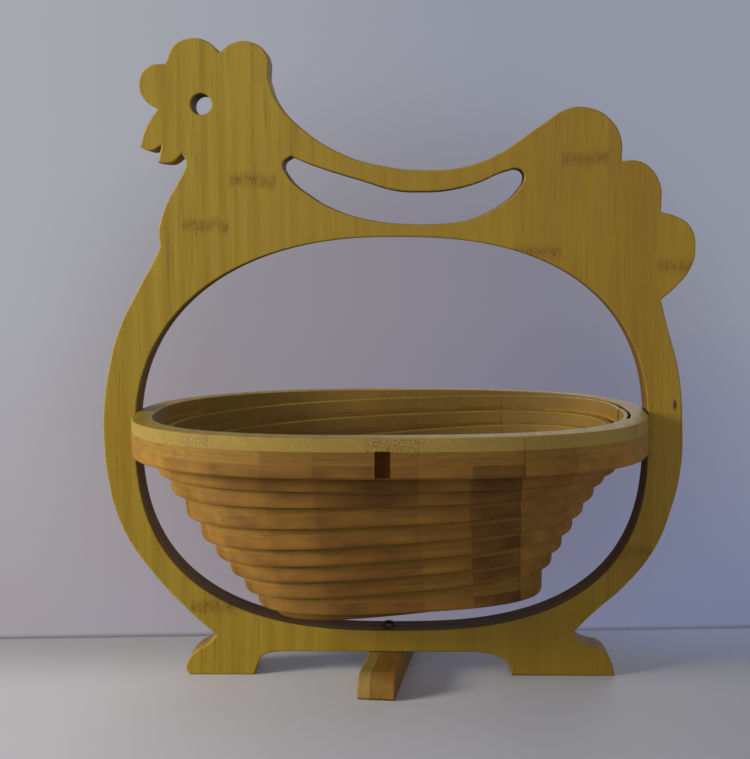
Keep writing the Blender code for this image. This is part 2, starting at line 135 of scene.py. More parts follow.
HALF_SPAN = OPENING_HALF_LENGTH + ARM_WIDTH
BAR_TOP = FOOT_HEIGHT + BAR_DEPTH
OPENING_MIDDLE = BAR_TOP + OPENING_HALF_HEIGHT
OPENING_TOP = OPENING_MIDDLE + OPENING_HALF_HEIGHT
PIVOT_HEIGHT = OPENING_MIDDLE + PIVOT_RISE
HALF_THICKNESS = BOARD_THICKNESS / 2
SCREW_TOP = BAR_TOP + FIT_GAP + SCREW_HEAD_HEIGHT
TURN_COUNT = len(LEFT_DROP_SHARES)
BASKET_DEPTH = PIVOT_HEIGHT - HALF_THICKNESS - SCREW_TOP - FLOOR_CLEARANCE

# The outline in stretches whose first points are sharp. Across, the shares are of the half span.
# Up, they are of the foot height, the opening's half height or the head rise.
FOOT_LEFT_SHARES = (
    ((-0.715, 0.0), (-0.727, 0.26), (-0.717, 0.66), (-0.688, 1.04), (-0.648, 1.32)),
    ((-0.617, 1.7),),
)
ARM_LEFT_SHARES = (
    (-0.716, -0.894), (-0.844, -0.686), (-0.936, -0.478), (-0.98, -0.27), (-0.999, 0.02),
    (-0.993, 0.19), (-0.975, 0.345), (-0.936, 0.544), (-0.866, 0.745), (-0.822, 0.855),
)
HEAD_SHARES = (
    ((-0.785, -0.041), (-0.789, 0.041), (-0.765, 0.158)),
    ((-0.7, 0.33), (-0.69, 0.385)),
    ((-0.702, 0.425), (-0.742, 0.381)),
    ((-0.785, 0.382),),
    ((-0.773, 0.468), (-0.811, 0.442)),
    ((-0.846, 0.462), (-0.824, 0.56)),
    ((-0.784, 0.65), (-0.83, 0.702), (-0.844, 0.79), (-0.812, 0.86)),
    ((-0.753, 0.876), (-0.722, 0.965), (-0.664, 0.999), (-0.606, 0.98)),
    ((-0.57, 0.928), (-0.522, 0.974), (-0.464, 0.977), (-0.412, 0.925)),
    ((-0.405, 0.798), (-0.379, 0.689), (-0.309, 0.568), (-0.16, 0.42), (-0.002, 0.351),
     (0.113, 0.334), (0.244, 0.345), (0.361, 0.404), (0.52, 0.558), (0.605, 0.633),
     (0.676, 0.636), (0.742, 0.585), (0.782, 0.491)),
    ((0.786, 0.371), (0.838, 0.372), (0.887, 0.33), (0.918, 0.246), (0.921, 0.181)),
    ((0.919, 0.116), (0.97, 0.094), (1.017, 0.047), (1.038, -0.064), (1.021, -0.17),
     (0.974, -0.26)),
)
ARM_RIGHT_SHARES = (
    ((0.924, 0.681), (0.949, 0.537), (0.987, 0.331), (1.004, 0.057), (1.0, -0.171),
     (0.969, -0.374), (0.913, -0.579), (0.8, -0.785), (0.718, -0.889)),
)
FOOT_RIGHT_SHARES = (
    ((0.636, 1.85), (0.652, 1.53), (0.691, 1.28), (0.735, 1.14), (0.767, 0.69)),
    ((0.782, 0.0),),
    ((0.422, 0.0), (0.412, 0.45), (0.375, 0.8)),
    ((0.3, 1.0),),
    ((-0.36, 1.0), (-0.43, 0.93)),
    ((-0.46, 0.79),),
    ((-0.486, 0.0),),
)
SLOT_SHARES = (
    (-0.331, 0.41), (-0.262, 0.367), (-0.094, 0.287), (0.024, 0.235), (0.113, 0.227),
    (0.201, 0.234), (0.306, 0.272), (0.4, 0.329), (0.443, 0.335), (0.459, 0.306),
    (0.434, 0.226), (0.373, 0.152), (0.266, 0.083), (0.153, 0.063), (0.065, 0.064),
    (-0.044, 0.081), (-0.17, 0.132), (-0.271, 0.214), (-0.345, 0.315), (-0.358, 0.375),
)
EYE_SHARES = (-0.634, 0.6725)

# A line between the hand slot and the board's back: its lowest point, its rise and its half length
SLOT_ROOF = (0.01, 0.2203, 6.0, 0.062)

# A little over one, for faces that lie right on a limit
SLACK = 1.01

# The plies' borders, above and below the middle, and how deep under a face the saw's marks set in
# on a wall and are full
PLY_LEVEL = BOARD_THICKNESS / 6
PLY_BLUR = 0.00006
SAW_WALL_DEPTHS = (0.0001, 0.0006)

# How dark sawn walls are: the board's outer walls by burn, its openings' by burn and painted shade,
# the notch's by painted shade
BOARD_BURN = 0.22
OPENING_BURN_AND_SHADE = 0.62
NOTCH_PAINTED_SHADE = 0.85

# The board's strips, from the left edge: how light each is in the light ply, and in those below it,
# how strongly its end grain shows, and how dark the glue joint at its left edge is
STRIP_WIDTH = 0.0206
FIRST_STRIP = -0.1526
CROSS_STRIP_SHIFT = 0.004
FACE_TONES = (
    0.86, 0.84, 0.77, 0.77, 0.73, 0.63, 0.55, 0.5,
    0.49, 0.48, 0.3, 0.3, 0.14, 0.34, 0.36,
)
CROSS_TONES = (
    0.96, 0.96, 1.0, 1.0, 0.92, 0.5, 0.38, 0.34,
    0.4, 0.46, 0.5, 0.76, 0.9, 0.96, 0.96,
)
BACK_TONES = (
    0.8, 0.82, 0.82, 0.6, 0.48, 0.38, 0.28, 0.24,
    0.36, 0.12, 0.48, 0.64, 0.76, 0.84, 0.84,
)
FOOT_TONES = (0.46,) * len(FACE_TONES)
GRAIN_DOTS = (
    0.1, 0.2, 0.2, 0.55, 0.25, 0.25, 0.25, 0.8,
    0.3, 0.3, 0.3, 0.2, 0.2, 0.2, 0.2,
)
JOINT_LINES = (
    0.1, 0.1, 0.12, 0.1, 0.12, 0.14, 0.1, 0.1,
    0.1, 0.1, 1.0, 0.12, 0.12, 0.1, 0.1, 0.1,
)

# The bamboo nodes' heights in the light ply, upper and lower in each strip; none shows at 0.3
NODE_HEIGHTS = (
    0.1, 0.3, 0.3, 0.2008, 0.22, 0.3, 0.3, 0.3,
    0.3, 0.3, 0.1885, 0.2278, 0.3, 0.1826, 0.3,
)
LOW_NODE_HEIGHTS = (
    0.3, 0.3, 0.3, 0.0316, 0.3, 0.3, 0.3, 0.15,
    0.3, 0.3, 0.3, 0.3, 0.0558, 0.3, 0.3,
)
NODE_HEIGHT_SCALE = 0.3

# A short crack in the light ply, in the board's axes, and one over its half sizes
CRACK_PLACE = (0.1243, 0.1218, 0.0081)
CRACK_SCALE = (900.0, 330.0, 100.0)

# The bamboo's marks: one over the grains' size along each axis, the noise's detail and roughness,
# and the levels between which a mark sets in
MARKS = {
    "broad": ((230.0, 5.0, 230.0), 3.0, 0.55, 0.38, 0.62),
    "busy": ((90.0, 14.0, 90.0), 1.0, 0.55, 0.42, 0.62),
    "cross_broad": ((14.0, 330.0, 520.0), 2.0, 0.55, 0.5, 0.7),
    "cross_fine": ((55.0, 1500.0, 1700.0), 3.0, 0.6, 0.33, 0.7),
    "fibre_ends": ((2300.0, 420.0, 800.0), 2.0, 0.55, 0.48, 0.64),
    "fine": ((1500.0, 34.0, 1300.0), 3.0, 0.6, 0.3, 0.72),
    "light_marks": ((22.0, 22.0, 900.0), 2.0, 0.55, 0.56, 0.72),
    "patches": ((55.0, 22.0, 90.0), 2.0, 0.55, 0.35, 0.75),
    "saw_marks": ((32.0, 32.0, 1500.0), 3.0, 0.6, 0.36, 0.68),
    "streaks": ((1150.0, 42.0, 900.0), 3.0, 0.55, 0.54, 0.74),
}

# Camera, from the lines of the picture
PICTURE_WIDTH = 750
PICTURE_HEIGHT = 759
FOCAL_PIXELS = 1371.8
CAMERA_PLACE = (0.01344, -0.60572, 0.19677)
CAMERA_PITCH = math.radians(6.05)
CAMERA_YAW = math.radians(-1.91)
CAMERA_ROLL = math.radians(0.393)
SENSOR_WIDTH = 36.0
CLIP_START = 0.01
CLIP_END = 20.0

# The table's half width, and its back edge: its place along Y at the middle, and its slope
TABLE_HALF_WIDTH = 4.0
TABLE_BACK = 0.0553
TABLE_BACK_SLANT = 0.06
TABLE_EDGE_SOFTNESS = 0.003

# The wall behind it, as directions across and up: where its colours end, and the middle and size of
# the basket's painted shadow on it
WALL_LEFT = -0.28
WALL_RIGHT = 0.22
WALL_TOP_RIGHT = 0.06
WALL_TOP = -0.06
WALL_BOTTOM = -0.27
WALL_SHADE_MIDDLE = (-0.023, -0.11)
WALL_SHADE_SIZE = (0.2, 0.17)

# The lamps: name, place, size, power and colour
LAMP_TARGET = (0.0, 0.0, 0.12)
LAMPS = (
    ("left_window", (-2.15, -0.8, 0.68), 0.7, 60.0, (1.0, 0.97, 0.87)),
    ("front_fill", (0.1, -2.6, 0.26), 1.6, 17.0, (1.0, 0.97, 0.92)),
    ("back_fill", (0.5, 2.3, 0.28), 1.2, 8.0, (1.0, 0.98, 0.95)),
    ("right_fill", (2.2, -0.8, 0.2), 1.2, 10.0, (0.98, 0.97, 1.0)),
)
WORLD_LIGHT = 0.35


class Tree:
    """A short way to write a material's nodes: each call gives the output of what it adds."""

    def __init__(self, owner):
        owner.use_nodes = True
        self.nodes = owner.node_tree.nodes
        self.links = owner.node_tree.links
        self.nodes.clear()

    def add(self, kind, inputs=(), **settings):
        """Add a node, with inputs given as (socket, value or output) pairs."""
        made = self.nodes.new(kind)
        for name, value in settings.items():
            setattr(made, name, value)
        for socket, value in inputs:
            if isinstance(value, bpy.types.NodeSocket):
                self.links.new(value, made.inputs[socket])
            else:
                made.inputs[socket].default_value = value
        return made

    def coordinate(self, kind):
        """One of the piece's coordinates, as a vector."""
        return self.add("ShaderNodeTexCoord").outputs[kind]

    def parts(self, vector):
        """The three parts of a vector."""
        return self.add("ShaderNodeSeparateXYZ", ((0, vector),)).outputs

    def math(self, operation, *values, clamp=False):
        made = self.add("ShaderNodeMath", enumerate(values), operation=operation, use_clamp=clamp)
        return made.outputs[0]

    def product(self, first, *others):
        for value in others:
            first = self.math("MULTIPLY", first, value)
        return first

    def vector_math(self, operation, *values):
        return self.add("ShaderNodeVectorMath", enumerate(values), operation=operation).outputs

    def ramp_value(self, value, low, high, smooth=False):
        """0 up to low, 1 from high on, and the share of the way between them."""
        kind = "SMOOTHSTEP" if smooth else "LINEAR"
        inputs = ((0, value), (1, low), (2, high))
        return self.add("ShaderNodeMapRange", inputs, interpolation_type=kind).outputs[0]

    def mix(self, share, first, second):
        inputs = ((0, share), (6, first), (7, second))
        return self.add("ShaderNodeMix", inputs, data_type="RGBA").outputs[2]

    def layers(self, colour, tints):
        """Draw a colour towards each tint in turn, by a share times a strength."""
        for share, strength, tint in tints:
            colour = self.mix(self.product(share, strength), colour, shade_of(*tint))
        return colour

    def noise(self, vector, scale, detail=3.0, roughness=0.55):
        """Noise whose grains measure one over the scale along each axis."""
        scaled = self.vector_math("MULTIPLY", vector, scale)[0]
        inputs = (("Vector", scaled), ("Scale", 1.0), ("Detail", detail), ("Roughness", roughness))
        return self.add("ShaderNodeTexNoise", inputs).outputs["Fac"]

    def cells(self, vector, scale):
        """Distance to random points that lie about one over the scale apart along each axis."""
        scaled = self.vector_math("MULTIPLY", vector, scale)[0]
        inputs = (("Vector", scaled), ("Scale", 1.0))
        return self.add("ShaderNodeTexVoronoi", inputs).outputs["Distance"]

    def steps(self, value, levels):
        """A grey that holds one level in each equal stretch of the value."""
        made = self.add("ShaderNodeValToRGB", ((0, value),))
        ramp = made.color_ramp
        ramp.interpolation = "CONSTANT"
        for index, level in enumerate(levels):
            stop = ramp.elements[0] if index == 0 else ramp.elements.new(index / len(levels))
            stop.position = index / len(levels)
            stop.color = (level, level, level, 1.0)
        ramp.elements.remove(ramp.elements[-1])
        return self.add("ShaderNodeRGBToBW", ((0, made.outputs[0]),)).outputs[0]

    def bump(self, height, strength, distance):
        """The normal of a surface with a relief."""
        inputs = (("Height", height), ("Strength", strength), ("Distance", distance))
        return self.add("ShaderNodeBump", inputs).outputs[0]

    def surface(self, *inputs):
        """End a material with one shader."""
        shader = self.add("ShaderNodeBsdfPrincipled", inputs)
        self.add("ShaderNodeOutputMaterial", ((0, shader.outputs[0]),))


def shade_of(red, green, blue):
    """A colour written as a screen shows it, in the renderer's linear values."""
    def linear(value):
        share = value / 255
        return share / 12.92 if share <= 0.04045 else ((share + 0.055) / 1.055) ** 2.4
    return (linear(red), linear(green), linear(blue), 1.0)


def ply_shares(tree, axes):
    """Where the light ply is, where the lowest one is, and where a wall is sawn, not flat."""
    light_ply = tree.ramp_value(axes[2], PLY_LEVEL - PLY_BLUR, PLY_LEVEL + PLY_BLUR)
    low_ply = tree.ramp_value(axes[2], PLY_BLUR - PLY_LEVEL, -PLY_BLUR - PLY_LEVEL)
    from_middle = tree.math("ABSOLUTE", axes[2])
    start, full = (HALF_THICKNESS - depth for depth in SAW_WALL_DEPTHS)
    return light_ply, low_ply, tree.ramp_value(from_middle, start, full)


def glue_joints(tree, along, saw_wall):
    """Dark lines between the strips, stronger on the sawn walls than on the faces."""
    from_middle = tree.math("ABSOLUTE", tree.math("SUBTRACT", tree.math("FRACT", along), 0.5))
    share = tree.math("DIVIDE", tree.math("ADD", along, 0.5), len(JOINT_LINES))
    line = tree.product(tree.ramp_value(from_middle, 0.48, 0.498), tree.steps(share, JOINT_LINES))
    return tree.product(line, tree.math("MULTIPLY_ADD", saw_wall, 0.8, 0.2))


def node_marks(tree, place, upward, share, fibre_ends):
    """The brown band round each bamboo node, and the fibre ends and small holes in it."""
    waver = tree.math("SUBTRACT", tree.noise(place, (170.0, 30.0, 60.0)), 0.5)
    ragged = tree.math("MULTIPLY_ADD", waver, 0.007, upward)
    from_node = 1.0
    for heights in (NODE_HEIGHTS, LOW_NODE_HEIGHTS):
        shares = [height / NODE_HEIGHT_SCALE for height in heights]
        level = tree.product(tree.steps(share, shares), NODE_HEIGHT_SCALE)
        distance = tree.math("ABSOLUTE", tree.math("SUBTRACT", ragged, level))
        from_node = tree.math("MINIMUM", from_node, distance)
    band = tree.ramp_value(from_node, 0.0046, 0.0004, smooth=True)
    holes = tree.ramp_value(tree.cells(place, (760.0, 460.0, 1.0)), 0.34, 0.16)
    holes = tree.product(holes, tree.ramp_value(from_node, 0.0026, 0.0012), 0.95)
    return band, tree.math("MAXIMUM", tree.product(band, fibre_ends, 0.6), holes)


def crack_mark(tree, place):
    """The short crack in the light ply."""
    offset = tree.vector_math("SUBTRACT", place, CRACK_PLACE)[0]
    offset = tree.vector_math("MULTIPLY", offset, CRACK_SCALE)[0]
    return tree.ramp_value(tree.vector_math("LENGTH", offset)["Value"], 1.0, 0.4)


def cut_share(tree, axes):
    """1 where the board becomes the basket's wall, 0 outside it, and less towards its floor."""
    upward = tree.math("SUBTRACT", axes[1], OPENING_MIDDLE)
    rounds = [
        tree.math("POWER", tree.math("ABSOLUTE", tree.math("DIVIDE", offset, half)), ROUND_POWER)
        for offset, half in ((axes[0], OPENING_HALF_LENGTH), (upward, OPENING_HALF_HEIGHT))
    ]
    out = tree.math("ADD", *rounds)
    return tree.product(tree.ramp_value(out, 0.94, 0.9), tree.ramp_value(out, 0.15, 0.5))


def edge_wear(tree):
    """1 on the rounded edges, which are neither level with the board nor square to it."""
    facing = tree.math("ABSOLUTE", tree.parts(tree.coordinate("Normal"))[2])
    return tree.product(tree.ramp_value(facing, 0.35, 0.6), tree.ramp_value(facing, 0.96, 0.8))


def bamboo(name, burn_and_shade, middle_tones=CROSS_TONES, low_tones=BACK_TONES):
    """Three-ply bamboo board. Sawn walls darken by a share from 0 to 1: saw burn, and painted shade
    in recesses.
    """
    material = bpy.data.materials.new(name)
    tree = Tree(material)
    place = tree.coordinate("Object")
    axes = tree.parts(place)
    light_ply, low_ply, saw_wall = ply_shares(tree, axes)
    in_cut = cut_share(tree, axes)

    # Strips of one width across, each with its own tone
    wander = tree.math("SUBTRACT", tree.noise(place, (30.0, 12.0, 60.0), detail=1.0), 0.5)
    across = tree.math("MULTIPLY_ADD", wander, 0.0006, axes[0])
    along = tree.math("DIVIDE", tree.math("SUBTRACT", across, FIRST_STRIP), STRIP_WIDTH)
    share = tree.math("DIVIDE", along, len(FACE_TONES))
    face_tone = tree.steps(share, FACE_TONES)
    middle_tone = tree.steps(share, middle_tones)
    blotches = tree.math("SUBTRACT", tree.noise(place, (40.0, 150.0, 90.0), detail=2.0), 0.5)
    back_tone = tree.math(
        "MULTIPLY_ADD", tree.product(blotches, saw_wall), 0.9, tree.steps(share, low_tones),
        clamp=True,
    )
    middle_tone = tree.math(
        "MULTIPLY_ADD", tree.math("SUBTRACT", back_tone, middle_tone), tree.product(in_cut, 0.8),
        middle_tone,
    )
    cross_strip = tree.math("DIVIDE", tree.math("ADD", axes[1], CROSS_STRIP_SHIFT), STRIP_WIDTH)
    cross_tone = tree.add(
        "ShaderNodeTexWhiteNoise", (("W", tree.math("FLOOR", cross_strip)),),
        noise_dimensions="1D",
    ).outputs[0]

    # Fibres run up the light and the lowest ply, and across the middle one.
    marks = {
        kind: tree.ramp_value(tree.noise(place, scale, detail, roughness), low, high)
        for kind, (scale, detail, roughness, low, high) in MARKS.items()
    }
    fine = marks["fine"]
    streaks = tree.product(
        marks["streaks"], tree.math("MULTIPLY_ADD", marks["busy"], 0.75, 0.25),
    )
    bundles = tree.ramp_value(tree.cells(place, (1500.0, 12.0, 1500.0)), 0.58, 0.34)
    band, node_mark = node_marks(tree, place, axes[1], share, marks["fibre_ends"])
    # Painted shadow of the basket on the board's bar and right foot: browner low down and to the
    # right
    painted_bar_shadow = tree.product(
        tree.ramp_value(axes[1], 0.034, 0.016), tree.ramp_value(axes[0], -0.034, -0.022),
    )

    # The light ply on its face and in sawn walls, the lowest ply and the middle one
    face = tree.mix(face_tone, shade_of(128, 92, 4), shade_of(168, 142, 44))
    face = tree.layers(face, (
        (marks["broad"], 0.6, (136, 105, 8)),
        (fine, 0.24, (186, 162, 48)),
        (streaks, 0.5, (112, 80, 0)),
        (painted_bar_shadow, 0.34, (92, 62, 6)),
        (band, 0.3, (120, 84, 0)),
        (node_mark, 1.0, (96, 66, 0)),
        (crack_mark(tree, place), 1.0, (70, 46, 20)),
    ))
    # End grain of the light ply; inside the basket's cut it is darker, a painted shade on the
    # basket's sawn walls
    end_grain = tree.layers(tree.mix(0.5, face, shade_of(164, 142, 84)), (
        (in_cut, 0.6, (102, 68, 22)),
        (tree.product(bundles, tree.steps(share, GRAIN_DOTS)), 0.85, (90, 66, 26)),
    ))
    back = tree.layers(tree.mix(back_tone, shade_of(76, 45, 16), shade_of(170, 124, 50)), (
        (fine, 0.12, (168, 124, 50)),
        (streaks, 0.25, (70, 42, 8)),
    ))
    cross = tree.mix(
        0.3,
        tree.mix(middle_tone, shade_of(78, 47, 16), shade_of(168, 128, 54)),
        tree.mix(cross_tone, shade_of(88, 56, 20), shade_of(132, 92, 36)),
    )
    cross = tree.layers(cross, (
        (marks["cross_fine"], 0.34, (160, 122, 46)),
        (marks["cross_broad"], 0.3, (76, 46, 10)),
    ))
    low = tree.layers(tree.mix(low_ply, cross, back), (
        (tree.product(marks["saw_marks"], saw_wall), 0.21, (60, 34, 10)),
        (tree.product(marks["light_marks"], saw_wall), 0.26, (160, 118, 50)),
    ))
    colour = tree.mix(light_ply, low, tree.mix(saw_wall, face, end_grain))
    colour = tree.layers(colour, (
        (glue_joints(tree, along, saw_wall), 0.6, (76, 50, 18)),
        (marks["patches"], 0.1, (96, 66, 26)),
        (saw_wall, burn_and_shade, (66, 36, 16)),
        (edge_wear(tree), 0.1, (176, 152, 70)),
    ))

    rough = tree.math("MULTIPLY_ADD", fine, 0.14, 0.42)
    rough = tree.math("MULTIPLY_ADD", saw_wall, 0.18, rough)
    shine = tree.math("MULTIPLY_ADD", saw_wall, -0.08 - 0.24 * burn_and_shade, 0.26)
    relief = tree.math("MULTIPLY_ADD", streaks, -0.5, tree.product(fine, 0.3))
    tree.surface(
        ("Base Color", colour), ("Roughness", rough), ("Specular IOR Level", shine),
        ("Normal", tree.bump(relief, 0.25, 0.0001)),
    )
    return material


def steel(name, colour):
    """Plain steel with fine turning marks and small stains."""
    material = bpy.data.materials.new(name)
    tree = Tree(material)
    place = tree.coordinate("Object")
    turning = tree.noise(place, (4000.0, 4000.0, 9000.0), detail=2.0)
    stains = tree.noise(place, (500.0, 500.0, 500.0), detail=4.0)
    tint = tree.mix(tree.ramp_value(stains, 0.45, 0.75), colour, shade_of(120, 108, 92))
    tree.surface(
        ("Base Color", tint), ("Metallic", 1.0),
        ("Roughness", tree.math("MULTIPLY_ADD", turning, 0.3, 0.4)),
        ("Normal", tree.bump(turning, 0.2, 0.00005)),
    )
    return material


def mesh_from(name, work):
    """Turn a bmesh into a mesh whose faces point outwards."""
    bmesh.ops.recalc_face_normals(work, faces=work.faces[:])
    mesh = bpy.data.meshes.new(name)
    work.to_mesh(mesh)
    work.free()
    return mesh


def loft(name, sections, closed=False):
    """Skin equal sections in order, as a ring or with flat ends."""
    work = bmesh.new()
    rings = [[work.verts.new(point) for point in section] for section in sections]
    pairs = list(zip(rings, rings[1:]))
    if closed:
        pairs.append((rings[-1], rings[0]))
    for near, far in pairs:
        for index in range(len(near)):
            after = (index + 1) % len(near)
            work.faces.new((near[index], near[after], far[after], far[index]))
    if not closed:
        work.faces.new(rings[0])
        work.faces.new(rings[-1])
    return mesh_from(name, work)


def cylinder(name, diameter, length, centre, axis):
    """A round bar along one axis, in the board's axes."""
    work = bmesh.new()
    turn = Vector((0, 0, 1)).rotation_difference(axis).to_matrix().to_4x4()
    bmesh.ops.create_cone(
        work, cap_ends=True, segments=ROUND_SIDES, radius1=diameter / 2, radius2=diameter / 2,
        depth=length, matrix=Matrix.Translation(centre) @ turn,
    )
    return mesh_from(name, work)


def finish_piece(name, mesh, place, cutters, material, body):
    """Cut a bamboo piece, and put it in the place of the solid of its name."""
    mesh.shade_smooth()
    mesh.set_sharp_from_angle(angle=SHARP_ANGLE)
    piece = bpy.data.objects.new(name + "_visual", mesh)
    bpy.context.scene.collection.objects.link(piece)
    for cutter in cutters:
        tool = bpy.data.objects.new("cutter", cutter)
        bpy.context.scene.collection.objects.link(tool)
        modifier = piece.modifiers.new("cut", "BOOLEAN")
        modifier.operation = "DIFFERENCE"
        modifier.solver = "EXACT"
        modifier.object = tool
        graph = bpy.context.evaluated_depsgraph_get()
        cut_mesh = bpy.data.meshes.new_from_object(piece.evaluated_get(graph))
        piece.modifiers.clear()
        piece.data = cut_mesh
        bpy.data.objects.remove(tool)
    piece.data.materials.clear()
    piece.data.materials.append(material)
    weighted = piece.modifiers.new("weighted", "WEIGHTED_NORMAL")
    weighted.keep_sharp = True
    piece.matrix_world = place
    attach(piece, body)
    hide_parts(name)
    return piece


def add_spline(curve, stretches):
    """Add a closed outline: the first point of each stretch is sharp and the others are smooth."""
    points = [(point, index == 0) for stretch in stretches for index, point in enumerate(stretch)]
    spline = curve.splines.new("BEZIER")
    spline.bezier_points.add(len(points) - 1)
    for anchor, (point, sharp) in zip(spline.bezier_points, points):
        anchor.co = (*point, 0.0)
        anchor.handle_left_type = anchor.handle_right_type = "VECTOR" if sharp else "AUTO"
    spline.use_cyclic_u = True


def add_polygon(curve, points):
    """Add a closed outline of straight pieces."""
    spline = curve.splines.new("POLY")
    spline.points.add(len(points) - 1)
    for anchor, point in zip(spline.points, points):
        anchor.co = (*point, 0.0, 1.0)
    spline.use_cyclic_u = True


def plate_mesh(name, curve):
    """Extrude a flat outline to the board's thickness, with rounded edges, as a closed mesh."""
    curve.dimensions = "2D"
    curve.fill_mode = "BOTH"
    curve.extrude = HALF_THICKNESS - BOARD_EDGE
    curve.bevel_depth = BOARD_EDGE
    curve.bevel_resolution = BOARD_EDGE_STEPS
    curve.offset = -BOARD_EDGE
    curve.resolution_u = OUTLINE_STEPS
    source = bpy.data.objects.new(name, curve)
    bpy.context.scene.collection.objects.link(source)
    graph = bpy.context.evaluated_depsgraph_get()
    mesh = bpy.data.meshes.new_from_object(source.evaluated_get(graph))
    bpy.data.objects.remove(source)
    work = bmesh.new()
    work.from_mesh(mesh)
    bmesh.ops.remove_doubles(work, verts=work.verts[:], dist=MERGE_DISTANCE)
    return mesh_from(name, work)


def opening_radius(angle, inset):
    """Distance from the opening's middle to its edge, drawn in by an inset, along one direction."""
    quarter = int(angle % math.tau // (math.pi / 2))
    power = OPENING_POWERS[quarter]
    across = abs(math.cos(angle)) / (OPENING_HALF_LENGTH - inset)
    upward = abs(math.sin(angle)) / (OPENING_HALF_HEIGHT - inset)
    return (across**power + upward**power) ** (-1 / power)


def cut_inset(turns):
    """How far inside the opening's edge the saw cut's middle runs, after so many turns."""
    return max(CUT_START_INSET, CUT_INSET + CUT_PITCH * turns)


def cut_wall(turns, side, depth, extra=0.0):
    """A point on one wall of the cut, in the board's axes: side is -1 outside the cut, 1 inside."""
    inset = cut_inset(turns) + side * KERF / 2 + WALL_LEAN_SHARE * depth + extra
    angle = math.tau * turns
    radius = opening_radius(angle, inset)
    return Vector((
        CUT_DRIFT * turns + radius * math.cos(angle) - SIDE_PLAY,
        OPENING_MIDDLE + radius * math.sin(angle),
        HALF_THICKNESS - depth,
    ))


def rim_wall(turns, depth, extra):
    """A point on the rim's outer wall, which is square to its faces."""
    angle = math.tau * turns
    radius = opening_radius(angle, OUTER_KERF + extra)
    return Vector((
        radius * math.cos(angle) - SIDE_PLAY,
        OPENING_MIDDLE + radius * math.sin(angle),
        HALF_THICKNESS - depth,
    ))


def rounding(width, height, steps=EDGE_STEPS):
    """How far points round an edge lie in from the wall and from the face, face to wall."""
    angles = [math.pi / 2 * step / steps for step in range(steps + 1)]
    return [(width * (1 - math.sin(angle)), height * (1 - math.cos(angle))) for angle in angles]


def on_seam(points, offset):
    """Flatten a section onto the seam plane through the middle, moved by an offset up the board."""
    return [Vector((point.x, OPENING_MIDDLE + offset, point.z)) for point in points]


def inner_wall(turns):
    """The outside of the cut from its lower edge to its upper one, with both edges rounded."""
    edge = rounding(CUT_EDGE, CUT_EDGE)
    lower = [cut_wall(turns, -1, BOARD_THICKNESS - up, -out) for out, up in edge]
    upper = [cut_wall(turns, -1, down, -out) for out, down in reversed(edge)]
    return lower + upper


def strip_section(turns):
    """The strip's section: its outer wall with a round belly below, and its inner wall."""
    width = (cut_wall(turns, 1, 0.0) - cut_wall(turns + 1, -1, 0.0)).length
    belly = rounding(min(BELLY_WIDTH, width / 2), BELLY_HEIGHT, BELLY_STEPS)
    upper = [cut_wall(turns, 1, down, out) for out, down in rounding(CUT_EDGE, CUT_EDGE)]
    lower = [cut_wall(turns, 1, BOARD_THICKNESS - up, out) for out, up in reversed(belly)]
    return upper + lower + inner_wall(turns + 1)


def half_turn_sections(half):
    """Sections along one half turn, with square ends at the seams."""
    side = 1 if half % 2 == 0 else -1
    sections = [
        strip_section((half + step / HALF_TURN_STEPS) / 2) for step in range(HALF_TURN_STEPS + 1)
    ]
    sections[0] = on_seam(sections[0], side * SEAM_GAP / 2)
    sections[-1] = on_seam(sections[-1], side * SEAM_GAP / 2)
    return sections


def hinge_point(half):
    """Where a half turn bends from the one before, in the board's axes."""
    turns = half / 2
    outer = cut_wall(turns, 1, HALF_THICKNESS)
    inner = cut_wall(turns + 1, -1, HALF_THICKNESS)
    side = -1 if half % 2 == 0 else 1
    share = side * HINGE_LEVEL_SHARES[min(half // 2, TURN_COUNT)]
    return Vector(((outer.x + inner.x) / 2, OPENING_MIDDLE, share * HALF_THICKNESS))


def seam_drop(half):
    """How far the strip's middle hangs below the rim's where a half turn starts."""
    if half == 0:
        return 0.0
    if half > 2 * TURN_COUNT:
        return BASKET_DEPTH
    shares = RIGHT_DROP_SHARES if half % 2 == 0 else LEFT_DROP_SHARES
    return BASKET_DEPTH * shares[(half - 1) // 2]


def tilt(half):
    """A half turn's slope, from how far its far end hangs below its near end."""
    length = abs(hinge_point(half + 1).x - hinge_point(half).x)
    slope = (seam_drop(half + 1) - seam_drop(half)) / length
    return -slope if half % 2 == 0 else slope


def basket_places():
    """The board's axes for the level rim, and for each half turn and the floor below it."""
    rim = Matrix.Translation((0.0, -PIVOT_HEIGHT, PIVOT_HEIGHT))
    places = []
    before = rim
    slope = 0.0
    for half in range(2 * TURN_COUNT + 1):
        hinge = hinge_point(half)
        bend = Matrix.Rotation(tilt(half) - slope, 4, "Y")
        before = before @ Matrix.Translation(hinge) @ bend @ Matrix.Translation(-hinge)
        slope = tilt(half)
        places.append(before)
    return rim, places


def darken_openings_with_shade(piece, material):
    """Give the walls inside the board's openings their darker saw burns and painted shade."""
    piece.data.materials.append(material)
    roof_middle, roof_low, roof_rise, roof_reach = SLOT_ROOF
    eye = (EYE_SHARES[0] * HALF_SPAN, OPENING_TOP + EYE_SHARES[1] * HEAD_RISE)
    for polygon in piece.data.polygons:
        x, y, _ = polygon.center
        across = abs(x) / OPENING_HALF_LENGTH
        upward = abs(y - OPENING_MIDDLE) / OPENING_HALF_HEIGHT
        in_basket = across**ROUND_POWER + upward**ROUND_POWER < OPENING_REACH
        aside = x - roof_middle
        under_roof = y < roof_low + roof_rise * aside**2
        in_slot = y > OPENING_TOP and under_roof and abs(aside) < roof_reach
        in_eye = math.dist((x, y), eye) < EYE_RADIUS + BOARD_EDGE
        if in_basket or in_slot or in_eye:
            polygon.material_index = 1


